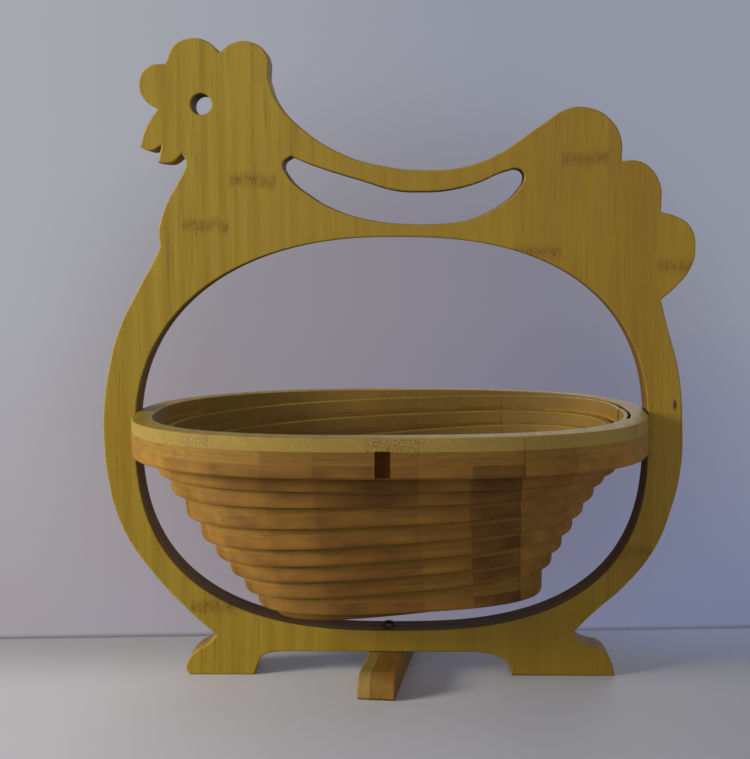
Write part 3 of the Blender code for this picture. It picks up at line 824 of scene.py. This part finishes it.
def make_board(material, dark):
    """The standing board, with its basket opening, hand slot, eye, bores and screw hole."""
    def foot(stretches):
        return [[(x * HALF_SPAN, z * FOOT_HEIGHT) for x, z in stretch] for stretch in stretches]

    def arm(points):
        return [(x * HALF_SPAN, OPENING_MIDDLE + z * OPENING_HALF_HEIGHT) for x, z in points]

    def head(points):
        return [(x * HALF_SPAN, OPENING_TOP + z * HEAD_RISE) for x, z in points]

    left = foot(FOOT_LEFT_SHARES)
    left[-1] += arm(ARM_LEFT_SHARES)
    curve = bpy.data.curves.new("board_outline", "CURVE")
    add_spline(
        curve,
        left + [head(stretch) for stretch in HEAD_SHARES] + [arm(s) for s in ARM_RIGHT_SHARES]
        + foot(FOOT_RIGHT_SHARES),
    )
    opening = []
    for index in range(OPENING_POINTS):
        angle = math.tau * index / OPENING_POINTS
        radius = opening_radius(angle, 0.0)
        opening.append((radius * math.cos(angle), OPENING_MIDDLE + radius * math.sin(angle)))
    add_polygon(curve, opening)
    add_spline(curve, [head(SLOT_SHARES)])
    eye_x, eye_y = head([EYE_SHARES])[0]
    add_polygon(curve, [
        (eye_x + EYE_RADIUS * math.cos(math.tau * index / ROUND_SIDES),
         eye_y + EYE_RADIUS * math.sin(math.tau * index / ROUND_SIDES))
        for index in range(ROUND_SIDES)
    ])
    length = ARM_WIDTH + 2 * CUT_OVERRUN
    cutters = []
    for side in (-1, 1):
        middle = Vector((side * (OPENING_HALF_LENGTH + ARM_WIDTH / 2), PIVOT_HEIGHT, 0.0))
        cutters.append(cylinder("bore", PIN_BORE, length, middle, Vector((1, 0, 0))))
    length = BAR_DEPTH + 2 * CUT_OVERRUN
    middle = Vector((SCREW_X, FOOT_HEIGHT + BAR_DEPTH / 2, 0.0))
    cutters.append(cylinder("hole", SCREW_HOLE, length, middle, Vector((0, 1, 0))))
    upright = Matrix.Rotation(math.pi / 2, 4, "X")
    mesh = plate_mesh("frame_board", curve)
    piece = finish_piece("frame_board", mesh, upright, cutters, material, "frame")
    darken_openings_with_shade(piece, dark)


def start_slot_mesh():
    """The slot where the saw cut starts, in front of the right seam."""
    spare = KERF / 2 * (1 - START_SLOT_WIDTH_SHARE)
    sections = []
    for step in range(START_SLOT_STEPS + 1):
        turns = -START_SLOT_TURN_SHARE * (1 - step / START_SLOT_STEPS)
        points = [
            cut_wall(turns, -1, BOARD_THICKNESS + CUT_OVERRUN, spare),
            cut_wall(turns, -1, -CUT_OVERRUN, spare),
            cut_wall(turns, 1, -CUT_OVERRUN, -spare),
            cut_wall(turns, 1, BOARD_THICKNESS + CUT_OVERRUN, -spare),
        ]
        sections.append(points if step < START_SLOT_STEPS else on_seam(points, FIT_GAP))
    return loft("start_slot", sections)


def head_notch_mesh():
    """The notch in the rim's front that swings past the screw head as the basket shuts."""
    front = OPENING_HALF_HEIGHT - OUTER_KERF + PIVOT_RISE
    floor = math.sqrt((PIVOT_HEIGHT - SCREW_TOP - FIT_GAP)**2 - HALF_THICKNESS**2)
    height = HALF_THICKNESS + NOTCH_WIDTH / 2 + CUT_OVERRUN
    depth = front - floor + CUT_OVERRUN
    work = bmesh.new()
    bmesh.ops.create_cube(work, size=1.0)
    bmesh.ops.scale(work, vec=(NOTCH_WIDTH, depth, height), verts=work.verts[:])
    shift = Vector((SCREW_X, PIVOT_HEIGHT - floor - depth / 2, (NOTCH_WIDTH - height) / 2))
    bmesh.ops.translate(work, vec=shift, verts=work.verts[:])
    return mesh_from("head_notch", work)


def paint_notch_shade(piece, material):
    """Give the walls inside the rim's notch a dark painted shade."""
    piece.data.materials.append(material)
    reach = NOTCH_WIDTH / 2 * SLACK
    outside = OPENING_MIDDLE - OPENING_HALF_HEIGHT + OUTER_KERF
    for polygon in piece.data.polygons:
        aside = abs(polygon.center.x - SCREW_X) < reach
        inside = outside + CUT_EDGE / 2 < polygon.center.y < outside + HALF_THICKNESS / 2
        if aside and inside and polygon.center.z < reach:
            polygon.material_index = 1


def make_rim(material, dark, place):
    """The basket's level rim, with pin bores, the cut's start and the notch."""
    steps = 2 * HALF_TURN_STEPS
    edge = rounding(RIM_EDGE, RIM_EDGE)
    lower_edge = rounding(RIM_EDGE_WIDTH, RIM_EDGE_HEIGHT)[::-1]
    sections = []
    for step in range(steps + 1):
        turns = step / steps
        outer = turns if step < steps else turns - RIM_STEP_TURNS
        upper = [rim_wall(outer, down, out) for out, down in edge]
        lower = [rim_wall(outer, BOARD_THICKNESS - up, out) for out, up in lower_edge]
        inner = inner_wall(turns)
        if step in (0, steps):
            inner = on_seam(inner, -SEAM_GAP / 2)
        sections.append(upper + lower + inner)
    length = PIN_REACH + FIT_GAP + SIDE_PLAY + CUT_OVERRUN
    inner_end = OPENING_HALF_LENGTH - OUTER_KERF - PIN_REACH - FIT_GAP
    cutters = [start_slot_mesh(), head_notch_mesh()]
    for side in (-1, 1):
        middle = Vector((side * (inner_end + length / 2), PIVOT_HEIGHT, 0.0))
        cutters.append(cylinder("bore", PIN_BORE, length, middle, Vector((1, 0, 0))))
    mesh = loft("basket_rim", sections, closed=True)
    piece = finish_piece("basket_rim", mesh, place, cutters, material, "rim")
    paint_notch_shade(piece, dark)


def floor_mesh():
    """The floor: all that the cut leaves inside its last turn, with a step at the right seam."""
    steps = 2 * HALF_TURN_STEPS
    belly = rounding(FLOOR_BELLY_WIDTH, FLOOR_BELLY_HEIGHT, BELLY_STEPS)[::-1]
    lower = [(out, BOARD_THICKNESS - up) for out, up in belly]
    rings = []
    for out, depth in rounding(CUT_EDGE, CUT_EDGE) + lower:
        ring = [cut_wall(TURN_COUNT + step / steps, 1, depth, out) for step in range(steps + 1)]
        ring[0] = on_seam(ring[:1], SEAM_GAP / 2)[0]
        ring[-1] = on_seam(ring[-1:], SEAM_GAP / 2)[0]
        rings.append(ring)
    return loft("basket_floor", rings)


def make_spiral(material, places):
    """The half turns of the strip and the floor inside them."""
    for half, place in enumerate(places[:-1]):
        which = f"turn_{half // 2 + 1}_{'back' if half % 2 == 0 else 'front'}"
        mesh = loft(which, half_turn_sections(half))
        finish_piece("spiral_" + which, mesh, place, (), material, which)
    finish_piece("basket_floor", floor_mesh(), places[-1], (), material, "floor")


def make_cross_foot(material):
    """The swivelling cross foot, sawn from the same board, with its light ply at the left."""
    height = FOOT_HEIGHT - FIT_GAP
    centre_x = CROSS_FOOT_HALF_LENGTH - CROSS_FOOT_END_RADIUS
    centre_y = height - CROSS_FOOT_END_RADIUS
    profile = []
    for side in (1, -1):
        end = [
            (side * (CROSS_FOOT_HALF_LENGTH - CROSS_FOOT_TOE), 0.0),
            (side * CROSS_FOOT_HALF_LENGTH, CROSS_FOOT_TOE),
        ]
        for step in range(ROUND_SIDES // 4 + 1):
            angle = math.tau * step / ROUND_SIDES
            end.append((
                side * (centre_x + CROSS_FOOT_END_RADIUS * math.cos(angle)),
                centre_y + CROSS_FOOT_END_RADIUS * math.sin(angle),
            ))
        profile += end if side == 1 else end[::-1]
    curve = bpy.data.curves.new("cross_foot_profile", "CURVE")
    add_polygon(curve, profile)
    length = SCREW_REACH + FIT_GAP + CUT_OVERRUN
    middle = Vector((0.0, height + CUT_OVERRUN - length / 2, 0.0))
    hole = cylinder("hole", SCREW_HOLE, length, middle, Vector((0, 1, 0)))
    place = (
        Matrix.Translation((SCREW_X, 0.0, 0.0))
        @ Matrix.Rotation(CROSS_FOOT_REST_ANGLE - math.pi / 2, 4, "Z")
        @ Matrix.Rotation(math.pi / 2, 4, "X")
    )
    mesh = plate_mesh("cross_foot", curve)
    finish_piece("cross_foot", mesh, place, [hole], material, "cross_foot")


def finish_metal():
    """Give the pins and the screw their steel."""
    pin = steel("pin_steel", shade_of(186, 184, 178))
    screw = steel("screw_steel", shade_of(34, 32, 24))
    metals = {"left_pivot_pin": pin, "right_pivot_pin": pin, "foot_screw": screw}
    for name, material in metals.items():
        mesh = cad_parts[name].data
        mesh.materials.clear()
        mesh.materials.append(material)


def make_table():
    """A pale table top that the camera doesn't see beyond its back edge."""
    work = bmesh.new()
    bmesh.ops.create_grid(work, x_segments=1, y_segments=1, size=TABLE_HALF_WIDTH)
    floor = bpy.data.objects.new("table_top", mesh_from("table_top", work))
    bpy.context.scene.collection.objects.link(floor)
    material = bpy.data.materials.new("table_top")
    tree = Tree(material)
    place = tree.coordinate("Object")
    axes = tree.parts(place)
    seen = tree.add("ShaderNodeLightPath").outputs["Is Camera Ray"]
    past_edge = tree.math(
        "SUBTRACT", axes[1], tree.math("MULTIPLY_ADD", axes[0], TABLE_BACK_SLANT, TABLE_BACK),
    )
    beyond = tree.ramp_value(past_edge, 0.0, TABLE_EDGE_SOFTNESS)

    # The table's colour, with painted light: in front paler on the left and darker on the right as
    # the light falls off; towards the back a painted shade on the left and a painted bluish light
    # on the right; and a painted shade line in the crease along the back edge
    front = tree.mix(
        tree.ramp_value(axes[0], -0.13, 0.17), shade_of(222, 221, 222), shade_of(166, 166, 173),
    )
    cloud = tree.ramp_value(tree.noise(place, (3.0, 3.0, 3.0), detail=2.0), 0.3, 0.7)
    front = tree.layers(front, ((cloud, 0.05, (240, 240, 240)),))
    rear = tree.mix(
        tree.ramp_value(axes[0], -0.12, 0.14), shade_of(168, 162, 160), shade_of(196, 208, 246),
    )
    colour = tree.mix(seen, shade_of(128, 122, 116), front)
    to_rear = tree.product(tree.ramp_value(past_edge, -0.08, 0.0, smooth=True), 0.7)
    colour = tree.mix(to_rear, colour, rear)
    from_line = tree.math("ABSOLUTE", tree.math("SUBTRACT", past_edge, TABLE_EDGE_SOFTNESS))
    line = tree.ramp_value(from_line, 0.008, 0.001)
    colour = tree.mix(tree.product(line, beyond), colour, shade_of(96, 98, 108))
    shader = tree.add("ShaderNodeBsdfPrincipled", (
        ("Base Color", colour), ("Roughness", 0.6), ("Specular IOR Level", 0.2),
    ))
    clear = tree.add("ShaderNodeBsdfTransparent")
    hidden = tree.product(tree.math("MULTIPLY_ADD", line, -0.6, beyond, clamp=True), seen)
    both = tree.add("ShaderNodeMixShader", (
        (0, hidden), (1, shader.outputs[0]), (2, clear.outputs[0]),
    ))
    tree.add("ShaderNodeOutputMaterial", ((0, both.outputs[0]),))
    floor.data.materials.append(material)


def make_backdrop():
    """A weak even light, and the wall that only the camera, metal and glass see: painted darker to
    the right and down, with a painted shadow of the basket.
    """
    world = bpy.data.worlds.new("studio")
    bpy.context.scene.world = world
    tree = Tree(world)
    rays = tree.add("ShaderNodeLightPath").outputs
    seen = tree.math("MAXIMUM", rays["Is Glossy Ray"], rays["Is Transmission Ray"])
    seen = tree.math("MAXIMUM", rays["Is Camera Ray"], seen)
    way = tree.parts(tree.coordinate("Generated"))
    # Painted falloff of the light: the wall is lighter at the left and top, darker at the right and
    # bottom
    across = tree.ramp_value(way[0], WALL_LEFT, WALL_RIGHT)
    down = tree.ramp_value(way[2], WALL_TOP, WALL_BOTTOM)
    high = tree.mix(
        tree.ramp_value(way[0], WALL_LEFT, WALL_TOP_RIGHT),
        shade_of(168, 169, 176), shade_of(146, 149, 163),
    )
    low = tree.mix(across, shade_of(160, 153, 159), shade_of(114, 122, 152))
    shaded_high = tree.mix(across, shade_of(150, 143, 144), shade_of(114, 113, 134))
    shaded_low = tree.mix(across, shade_of(162, 142, 134), shade_of(70, 84, 132))
    # A painted shadow of the basket darkens the wall's middle
    squares = [
        tree.math("POWER", tree.math("DIVIDE", tree.math("SUBTRACT", part, middle), size), 2.0)
        for part, middle, size in zip((way[0], way[2]), WALL_SHADE_MIDDLE, WALL_SHADE_SIZE)
    ]
    from_middle = tree.math("SQRT", tree.math("ADD", *squares))
    shade = tree.product(tree.ramp_value(from_middle, 1.5, 0.6, smooth=True), 0.85)
    wall = tree.mix(shade, tree.mix(down, high, low), tree.mix(down, shaded_high, shaded_low))
    light = tree.add("ShaderNodeBackground", ((0, shade_of(206, 212, 236)), (1, WORLD_LIGHT)))
    backdrop = tree.add("ShaderNodeBackground", ((0, wall), (1, 1.0)))
    both = tree.add("ShaderNodeMixShader", (
        (0, seen), (1, light.outputs[0]), (2, backdrop.outputs[0]),
    ))
    tree.add("ShaderNodeOutputWorld", ((0, both.outputs[0]),))


def make_lights():
    """Side light from the left, with weak fills from the front, the back and the right."""
    for name, place, size, power, colour in LAMPS:
        lamp = bpy.data.lights.new(name, "AREA")
        lamp.size = size
        lamp.energy = power
        lamp.color = colour
        holder = bpy.data.objects.new(name, lamp)
        bpy.context.scene.collection.objects.link(holder)
        holder.location = place
        way = Vector(LAMP_TARGET) - Vector(place)
        holder.rotation_euler = way.to_track_quat("-Z", "Y").to_euler()


def make_camera():
    """The camera where the picture was taken from."""
    camera = bpy.data.cameras.new("camera")
    camera.sensor_width = SENSOR_WIDTH
    camera.lens = FOCAL_PIXELS / max(PICTURE_WIDTH, PICTURE_HEIGHT) * SENSOR_WIDTH
    camera.clip_start = CLIP_START
    camera.clip_end = CLIP_END
    forward = Vector((
        math.sin(CAMERA_YAW) * math.cos(CAMERA_PITCH),
        math.cos(CAMERA_YAW) * math.cos(CAMERA_PITCH),
        -math.sin(CAMERA_PITCH),
    ))
    level = Vector((math.cos(CAMERA_YAW), -math.sin(CAMERA_YAW), 0.0))
    down = forward.cross(level)
    right = math.cos(CAMERA_ROLL) * level + math.sin(CAMERA_ROLL) * down
    below = -math.sin(CAMERA_ROLL) * level + math.cos(CAMERA_ROLL) * down
    holder = bpy.data.objects.new("camera", camera)
    bpy.context.scene.collection.objects.link(holder)
    turn = Matrix((right, -below, -forward)).transposed().to_4x4()
    holder.matrix_world = Matrix.Translation(CAMERA_PLACE) @ turn
    bpy.context.scene.camera = holder


def main():
    """Dress the frame and set the scene."""
    bpy.context.scene.view_settings.view_transform = "Standard"
    basket = bamboo("basket_bamboo", 0.0)
    make_board(bamboo("board_bamboo", BOARD_BURN), bamboo("burned_and_shaded_bamboo", OPENING_BURN_AND_SHADE))
    make_cross_foot(bamboo("foot_bamboo", 0.0, FOOT_TONES, FOOT_TONES))
    rim_place, places = basket_places()
    make_rim(basket, bamboo("notch_bamboo", NOTCH_PAINTED_SHADE), rim_place)
    make_spiral(basket, places)
    finish_metal()
    make_table()
    make_backdrop()
    make_lights()
    make_camera()


main()
